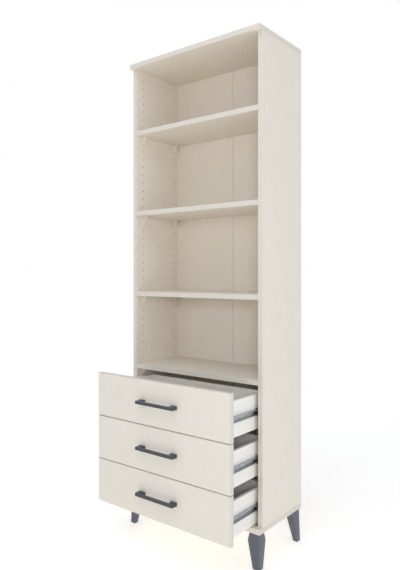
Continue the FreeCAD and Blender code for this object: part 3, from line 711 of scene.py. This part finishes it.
def turned_part(points):
    """Head end, the way the head faces, length and largest width of a turned solid."""
    low, high = points.min(axis=0), points.max(axis=0)
    size = high - low
    axis = max(range(3), key=lambda a: min(abs(size[a] - size[b]) for b in range(3) if b != a))
    middle = (low + high) / 2
    across = [a for a in range(3) if a != axis]
    reach = []
    for end in (low, high):
        near = points[abs(points[:, axis] - end[axis]) < END_DEPTH]
        reach.append(np.linalg.norm(near[:, across] - middle[across], axis=1).max())
    way = 1 if reach[1] > reach[0] + SAME_WIDTH else -1
    outward = Vector((0, 0, 0))
    outward[axis] = way
    place = Vector(middle)
    place[axis] = (high if way > 0 else low)[axis]
    return place, outward, size[axis], size[across[0]]


parts = [turned_part(points) for points in solids_of("carcass_screws")]
print("carcass screws", len(parts), "length and head", [round(size / MM, 2) for size in parts[0][2:]])

# %% [markdown]
# Three helpers serve every tree below.  The first opens a tree with its named inputs and the sums on them.
# The second ends it: copies are set on the points, each turned as its point says, then made real and given
# their finish.  The third puts the tree on a handful of points and turns the result into a plain mesh.

# %% Helpers for geometry trees
SOCKET_KINDS = {float: "NodeSocketFloat", int: "NodeSocketInt"}


def open_tree(name, sizes, sums):
    """A geometry tree with a named input for each size, and its sizes and sums by name.

    A sum is (first, operation, second), where both are numbers or the names of sizes or earlier sums.
    """
    tree = bpy.data.node_groups.new(name, "GeometryNodeTree")
    tree.interface.new_socket("Places", in_out="INPUT", socket_type="NodeSocketGeometry")
    for label, value in sizes.items():
        socket = tree.interface.new_socket(label, in_out="INPUT", socket_type=SOCKET_KINDS[type(value)])
        socket.default_value = value
    tree.interface.new_socket("Finish", in_out="INPUT", socket_type="NodeSocketMaterial")
    tree.interface.new_socket("Mesh", in_out="OUTPUT", socket_type="NodeSocketGeometry")
    inputs = add(tree, "NodeGroupInput").outputs
    given = {label: inputs[label] for label in ("Places", "Finish", *sizes)}
    for label, (first, operation, second) in sums.items():
        terms = {0: given.get(first, first), 1: given.get(second, second)}
        given[label] = add(tree, "ShaderNodeMath", terms, operation=operation)
    return tree, given


def close_tree(tree, given, shape):
    """Set the shape on every point with the point's own turn; make it real mesh and give it its finish."""
    turned = add(tree, "GeometryNodeInputNamedAttribute", {"Name": "turn"}, data_type="FLOAT_VECTOR")
    copies = add(tree, "GeometryNodeInstanceOnPoints", {
        "Points": given["Places"], "Instance": shape, "Rotation": turned.outputs["Attribute"]})
    real = add(tree, "GeometryNodeRealizeInstances", {"Geometry": copies})
    dressed = add(tree, "GeometryNodeSetMaterial", {"Geometry": real, "Material": given["Finish"]})
    add(tree, "NodeGroupOutput", {"Mesh": dressed})
    return tree


def set_down(tree, name, places, sizes, finish, sharp=30.0, soft=0.0):
    """The tree's shape at each place, its Z turned outward, as one plain mesh; sizes are in metres.

    A place is (point, outward) or (point, outward, way), where way is what the shape's X follows.
    """
    mesh = bpy.data.meshes.new(name)
    mesh.from_pydata([place[0] for place in places], [], [])
    turns = mesh.attributes.new("turn", "FLOAT_VECTOR", "POINT")
    for number, (_, outward, *way) in enumerate(places):
        turn = outward.to_track_quat("Z", "Y")
        if way:
            turn = Matrix((way[0], outward.cross(way[0]), outward)).transposed()
        turns.data[number].vector = turn.to_euler()
    piece = new_object(name, mesh)
    grown = piece.modifiers.new(name, "NODES")
    grown.node_group = tree
    labels = {item.name: item.identifier for item in tree.interface.items_tree if item.in_out == "INPUT"}
    for label, value in sizes.items():
        grown[labels[label]] = value
    grown[labels["Finish"]] = finish
    if soft:
        round_off(piece, soft, by_angle=40)
    return settle(piece, sharp=sharp)


print("kinds of input", sorted(SOCKET_KINDS.values()))

# %% [markdown]
# A screw is a turned thing, so it is a straight path whose width changes: flat top, rounded edge, underside
# of the head, core.  A circle swept along that path gives the head.  Two crossed blades are cut from it for
# the driver, and a thread, a small triangle swept along a spiral, is wound round the core.

# %% Turned solids and the screw
ROUND_SIDES = 20
THREAD_STEPS = 12               # for each turn of a thread
STEP = 0.01 * MM                # a flat step in a turned outline is this deep


def picked(tree, given, values):
    """For each point of a path the value with its number; a value is a number or a name in given."""
    switch = add(tree, "GeometryNodeIndexSwitch", data_type="FLOAT")
    for _ in values[2:]:
        switch.index_switch_items.new()
    values = [given.get(value, value) for value in values]
    fill(tree, switch, {0: add(tree, "GeometryNodeInputIndex"), **dict(enumerate(values, 1))})
    return switch


def path_through(tree, corners, **axes):
    """A path of straight runs through this many corners, whose X, Y or Z is given."""
    spot = add(tree, "ShaderNodeCombineXYZ", axes)
    line = add(tree, "GeometryNodeMeshLine", {"Count": corners})
    placed = add(tree, "GeometryNodeSetPosition", {"Geometry": line, "Position": spot})
    return add(tree, "GeometryNodeMeshToCurve", {"Mesh": placed})


def swept(tree, given, stations, profile=None):
    """A solid down -Z from (depth, width) pairs, round or with another profile of width 1."""
    depths, widths = zip(*stations)
    height = add(tree, "ShaderNodeMath", {0: picked(tree, given, depths), 1: -1.0}, operation="MULTIPLY")
    if profile is None:
        profile = add(tree, "GeometryNodeCurvePrimitiveCircle", {"Resolution": ROUND_SIDES, "Radius": 0.5})
    return add(tree, "GeometryNodeCurveToMesh", {
        "Curve": path_through(tree, len(stations), Z=height), "Profile Curve": profile,
        "Scale": picked(tree, given, widths), "Fill Caps": True})


def cross_cut(tree, given, shape, others=()):
    """Cut the driver's cross, and any other shapes, out of a solid."""
    double = add(tree, "ShaderNodeMath", {0: given["Recess Depth"], 1: 2.0}, operation="MULTIPLY")
    tools = list(others)
    for long, short in (("Recess Width", "Recess Blade"), ("Recess Blade", "Recess Width")):
        size = add(tree, "ShaderNodeCombineXYZ", {"X": given[long], "Y": given[short], "Z": double})
        tools.append(add(tree, "GeometryNodeMeshCube", {"Size": size}))
    return add(tree, "GeometryNodeMeshBoolean", {"Mesh 1": shape, "Mesh 2": tools}, operation="DIFFERENCE",
               solver="EXACT")


def screw_tree():
    """Head, cross recess, core and thread, with the head's top at the origin and facing +Z."""
    tree, given = open_tree("screw", {
        "Head Width": 7 * MM, "Head Height": 2 * MM, "Flat Width": 4 * MM, "Edge Depth": 0.8 * MM,
        "Neck Width": 7 * MM, "Core Width": 2.6 * MM, "Thread Width": 3.6 * MM, "Thread Pitch": 1.6 * MM,
        "Length": 14 * MM, "Recess Width": 3 * MM, "Recess Blade": 0.8 * MM, "Recess Depth": 1 * MM,
    }, {
        "neck depth": ("Head Height", "ADD", STEP),
        "thread length": ("Length", "SUBTRACT", "neck depth"),
        "turns": ("thread length", "DIVIDE", "Thread Pitch"),
        "core radius": ("Core Width", "MULTIPLY", 0.5),
        "ridge width": ("Thread Width", "SUBTRACT", "Core Width"),
        "tip": ("Length", "MULTIPLY", -1.0),
    })
    head = swept(tree, given, [
        (0.0, "Flat Width"), ("Edge Depth", "Head Width"), ("Head Height", "Neck Width"),
        ("neck depth", "Core Width"), ("Length", "Core Width")])
    spiral = add(tree, "GeometryNodeCurveSpiral", {
        "Resolution": THREAD_STEPS, "Rotations": given["turns"], "Start Radius": given["core radius"],
        "End Radius": given["core radius"], "Height": given["thread length"]})
    ridge = add(tree, "GeometryNodeCurvePrimitiveCircle", {"Resolution": 3, "Radius": 0.5})
    thread = add(tree, "GeometryNodeCurveToMesh", {
        "Curve": spiral, "Profile Curve": ridge, "Fill Caps": True, "Scale": given["ridge width"]})
    tip = add(tree, "ShaderNodeCombineXYZ", {"Z": given["tip"]})
    wound = add(tree, "GeometryNodeTransform", {"Geometry": thread, "Translation": tip})
    whole = add(tree, "GeometryNodeJoinGeometry", {"Geometry": [cross_cut(tree, given, head), wound]})
    return close_tree(tree, given, whole)


screw = screw_tree()
SCREW_SIZES = ("Flat Width", "Edge Depth", "Head Height", "Neck Width", "Core Width", "Thread Width",
               "Thread Pitch", "Recess Width", "Recess Blade", "Recess Depth")
SCREWS = {                      # these sizes for each kind, in millimetres
    "carcass": (9.6, 0.3, 4.0, 6.6, 4.4, 6.0, 3.0, 5.4, 1.3, 2.4),
    "leg": (8.5, 0.05, 2.6, 4.4, 3.0, 4.4, 2.0, 4.4, 0.9, 1.6),
    "cabinet_rail": (6.3, 0.05, 1.6, 3.4, 2.5, 3.5, 1.6, 3.6, 0.9, 1.6),
    "rail": (4.6, 0.5, 1.0, 7.1, 2.5, 3.5, 1.6, 3.6, 0.9, 0.8),
    "box": (6.9, 0.05, 2.4, 3.9, 2.7, 3.9, 1.8, 3.9, 0.9, 1.6),
    "handle": (5.2, 1.2, 2.2, 8.4, 3.3, 4.0, 0.9, 4.4, 1.1, 1.5),
}


def fit_screws(node, name, kind):
    """New screws in the places of a node's own, with their measured length and head width."""
    parts = [turned_part(points) for points in solids_of(node)]
    given = {"Length": parts[0][2], "Head Width": parts[0][3]}
    given.update({label: size * MM for label, size in zip(SCREW_SIZES, SCREWS[kind])})
    piece = set_down(screw, name, [part[:2] for part in parts], given, screw_steel)
    stand_for(piece, node)
    return piece


fitted = [fit_screws(f"{kind}_screws", f"screws_{kind}", kind)
          for kind in ("carcass", "leg", "cabinet_rail")]
fitted += [fit_screws(f"drawer_{name}_{kind}_screws", f"screws_{name}_{kind}", kind)
           for name in DRAWERS for kind in ("rail", "box", "handle")]
print("pieces with screws", len(fitted), "faces", [len(piece.data.polygons) for piece in fitted])

# %% [markdown]
# A cam disc sits in the drawer side and is turned with a driver.  It draws the bolt's head in and so pulls
# the front tight.  It is die-cast zinc, greyer than the plated bolt, with a cross for the driver and a small
# arrow that points to the bolt.  A hole in its rim lets the bolt in.

# %% Cam fittings
BORE_PLACE, ARROW_PLACE = -0.3, -0.37   # along X, as shares of the disc's width


def cam_tree():
    """The disc's face is at the origin and faces +Z; the bolt comes from -X."""
    tree, given = open_tree("cam", {
        "Width": 12 * MM, "Thickness": 9 * MM, "Edge": 0.4 * MM, "Bolt Depth": 6 * MM, "Bolt Width": 7 * MM,
        "Recess Width": 6 * MM, "Recess Blade": 1.5 * MM, "Recess Depth": 2.5 * MM,
        "Arrow Width": 1.4 * MM, "Arrow Depth": 0.4 * MM,
    }, {
        "both edges": ("Edge", "MULTIPLY", 2.0),
        "flat width": ("Width", "SUBTRACT", "both edges"),
        "bolt radius": ("Bolt Width", "MULTIPLY", 0.5),
        "bore x": ("Width", "MULTIPLY", BORE_PLACE),
        "bore z": ("Bolt Depth", "MULTIPLY", -1.0),
        "arrow x": ("Width", "MULTIPLY", ARROW_PLACE),
        "arrow height": ("Arrow Depth", "MULTIPLY", 2.0),
    })
    disc = swept(tree, given, [(0.0, "flat width"), ("Edge", "Width"), ("Thickness", "Width")])
    bore = add(tree, "GeometryNodeMeshCylinder", {
        "Vertices": ROUND_SIDES, "Radius": given["bolt radius"], "Depth": given["Width"]})
    spot = add(tree, "ShaderNodeCombineXYZ", {"X": given["bore x"], "Z": given["bore z"]})
    bore = add(tree, "GeometryNodeTransform", {
        "Geometry": bore, "Translation": spot, "Rotation": (0, math.pi / 2, 0)})
    arrow = add(tree, "GeometryNodeMeshCylinder", {
        "Vertices": 3, "Radius": given["Arrow Width"], "Depth": given["arrow height"]})
    spot = add(tree, "ShaderNodeCombineXYZ", {"X": given["arrow x"]})
    arrow = add(tree, "GeometryNodeTransform", {
        "Geometry": arrow, "Translation": spot, "Rotation": (0, 0, math.pi)})
    return close_tree(tree, given, cross_cut(tree, given, disc, (bore, arrow)))


cam = cam_tree()
cam_zinc = plated("zinc_alloy_die_cast", "B7B9BA", "A3A5A7", 0.42)
for name in DRAWERS:
    node = f"drawer_{name}_cam_fittings"
    places = []
    for low, high in short_boxes(node):
        place = Vector((low + high) / 2)
        side = 1 if place.x > 0 else -1
        place.x = (low if side > 0 else high)[X]
        places.append((place, Vector((-side, 0, 0)), Vector((0, 1, 0))))
        thickness, width, _ = high - low
    discs = set_down(cam, f"cam_discs_{name}", places, {"Width": width, "Thickness": thickness}, cam_zinc)
    stand_for(discs, node)
    soften(node, f"cam_bolts_{name}", 0.25, screw_steel, angle=50, segments=2, keep=is_long)
print("cam discs", len(places), "a drawer, faces", len(discs.data.polygons))

# %% [markdown]
# A shelf support is a small bracket moulded in nylon: a pin for the hole, a flat top for the shelf, and a
# slanted nose.  Moulded parts keep one wall thickness, so the bracket is hollow on both sides, with a thin
# web left in the middle.  The shelf hides its top.

# %% Shelf supports
TOE_INSET, REACH_INSET, LIP_INSET = 0.6, 1.3, 0.2   # in wall thicknesses, along the slanted nose


def prism(tree, given, x, y, low, high):
    """A polygon in X and Y, drawn out along Z between two heights; all are numbers or names in given."""
    outline = path_through(tree, len(x), X=picked(tree, given, x), Y=picked(tree, given, y))
    closed = add(tree, "GeometryNodeSetSplineCyclic", {"Geometry": outline, "Cyclic": True})
    ends = [add(tree, "ShaderNodeCombineXYZ", {"Z": given[height]}) for height in (low, high)]
    path = add(tree, "GeometryNodeCurvePrimitiveLine", {"Start": ends[0], "End": ends[1]})
    return add(tree, "GeometryNodeCurveToMesh", {"Curve": path, "Profile Curve": closed, "Fill Caps": True})


def support_tree():
    """The wall is the plane Z = 0, the pin runs down -Z, and the shelf lies on the +Y side."""
    tree, given = open_tree("support", {
        "Reach": 18 * MM, "Toe": 4 * MM, "Lip": 2.5 * MM, "Rise": 26 * MM, "Drop": 4 * MM, "Width": 12 * MM,
        "Wall": 1.4 * MM, "Web": 1.6 * MM, "Pin Width": 4.8 * MM, "Pin Length": 9 * MM,
        "Pin Chamfer": 0.6 * MM,
    }, {
        "foot": ("Drop", "MULTIPLY", -1.0),
        "under lip": ("Rise", "SUBTRACT", "Lip"),
        "left": ("Width", "MULTIPLY", -0.5),
        "right": ("Width", "MULTIPLY", 0.5),
        "toe inset": ("Wall", "MULTIPLY", TOE_INSET),
        "inner toe": ("Toe", "SUBTRACT", "toe inset"),
        "reach inset": ("Wall", "MULTIPLY", REACH_INSET),
        "inner reach": ("Reach", "SUBTRACT", "reach inset"),
        "lip inset": ("Wall", "MULTIPLY", LIP_INSET),
        "inner lip": ("under lip", "SUBTRACT", "lip inset"),
        "inner foot": ("foot", "ADD", "Wall"),
        "inner top": ("Rise", "SUBTRACT", "Wall"),
        "web left": ("Web", "MULTIPLY", -0.5),
        "web right": ("Web", "MULTIPLY", 0.5),
        "far left": ("Width", "MULTIPLY", -1.0),
        "shoulder": ("Pin Length", "SUBTRACT", "Pin Chamfer"),
        "both chamfers": ("Pin Chamfer", "MULTIPLY", 2.0),
        "tip width": ("Pin Width", "SUBTRACT", "both chamfers"),
    })
    outside = ([0.0, "Toe", "Reach", "Reach", 0.0], ["foot", "foot", "under lip", "Rise", "Rise"])
    pocket = (["Wall", "inner toe", "inner reach", "inner reach", "Wall"],
              ["inner foot", "inner foot", "inner lip", "inner top", "inner top"])
    body = prism(tree, given, *outside, "left", "right")
    pockets = [prism(tree, given, *pocket, "web right", "Width"),
               prism(tree, given, *pocket, "far left", "web left")]
    hollow = add(tree, "GeometryNodeMeshBoolean", {"Mesh 1": body, "Mesh 2": pockets},
                 operation="DIFFERENCE", solver="EXACT")
    upright = add(tree, "GeometryNodeTransform", {"Geometry": hollow, "Rotation": (0, -math.pi / 2, 0)})
    pin = swept(tree, given, [(0.0, "Pin Width"), ("shoulder", "Pin Width"), ("Pin Length", "tip width")])
    whole = add(tree, "GeometryNodeJoinGeometry", {"Geometry": [upright, pin]})
    return close_tree(tree, given, whole)


PIN_LENGTH, SUPPORT_DROP = 9 * MM, 4 * MM
places = []
for low, high in short_boxes("shelf_supports"):
    side = 1 if low[X] > 0 else -1
    wall = high[X] - PIN_LENGTH if side > 0 else low[X] + PIN_LENGTH
    places.append((Vector((wall, (low[Y] + high[Y]) / 2, low[Z] + SUPPORT_DROP)), Vector((-side, 0, 0))))
supports = set_down(support_tree(), "moulded_supports", places,
                    {"Drop": SUPPORT_DROP, "Pin Length": PIN_LENGTH}, support_plastic, soft=0.3)
stand_for(supports, "shelf_supports")
print("supports", len(places), "faces", len(supports.data.polygons))

# %% [markdown]
# Steel balls roll in the cages, and fluted beech pins stand in the corners of the case.  The flutes let the
# glue spread along the pin.  Both are hidden when all is shut, so their trees stay simple.

# %% Balls and dowels
FLUTE_FLOOR = 0.475             # from the axis, where the pin's radius is 0.5
CHAMFER_SLOPE = 1.6             # how much narrower a dowel's end is for each unit of chamfer


def ball_tree():
    """A ball round the origin."""
    tree, given = open_tree("ball", {"Width": 3.3 * MM}, {"radius": ("Width", "MULTIPLY", 0.5)})
    ball = add(tree, "GeometryNodeMeshIcoSphere", {"Radius": given["radius"], "Subdivisions": 3})
    return close_tree(tree, given, ball)


def dowel_tree():
    """A pin with flutes along it and chamfered ends, from the origin down."""
    tree, given = open_tree("dowel", {
        "Width": 8 * MM, "Length": 34 * MM, "Chamfer": 1 * MM, "Flutes": 18,
    }, {
        "chamfer width": ("Chamfer", "MULTIPLY", CHAMFER_SLOPE),
        "end width": ("Width", "SUBTRACT", "chamfer width"),
        "shoulder": ("Length", "SUBTRACT", "Chamfer"),
    })
    fluted = add(tree, "GeometryNodeCurveStar", {
        "Points": given["Flutes"], "Inner Radius": FLUTE_FLOOR, "Outer Radius": 0.5})
    pin = swept(tree, given, [(0.0, "end width"), ("Chamfer", "Width"), ("shoulder", "Width"),
                              ("Length", "end width")], fluted)
    return close_tree(tree, given, pin)


ball = ball_tree()
for name in DRAWERS:
    node = f"drawer_{name}_ball_cages"
    boxes = short_boxes(node)
    places = [(Vector((low + high) / 2), Vector((0, 0, 1))) for low, high in boxes]
    width = boxes[-1][1][Y] - boxes[-1][0][Y]
    stand_for(set_down(ball, f"balls_{name}", places, {"Width": width}, ball_steel), node)
parts = [turned_part(points) for points in solids_of("carcass_dowels")]
pins = set_down(dowel_tree(), "fluted_dowels", [part[:2] for part in parts],
                {"Width": parts[0][3], "Length": parts[0][2]}, beech, sharp=20)
stand_for(pins, "carcass_dowels")
print("balls", len(places), "a drawer, dowels", len(parts))
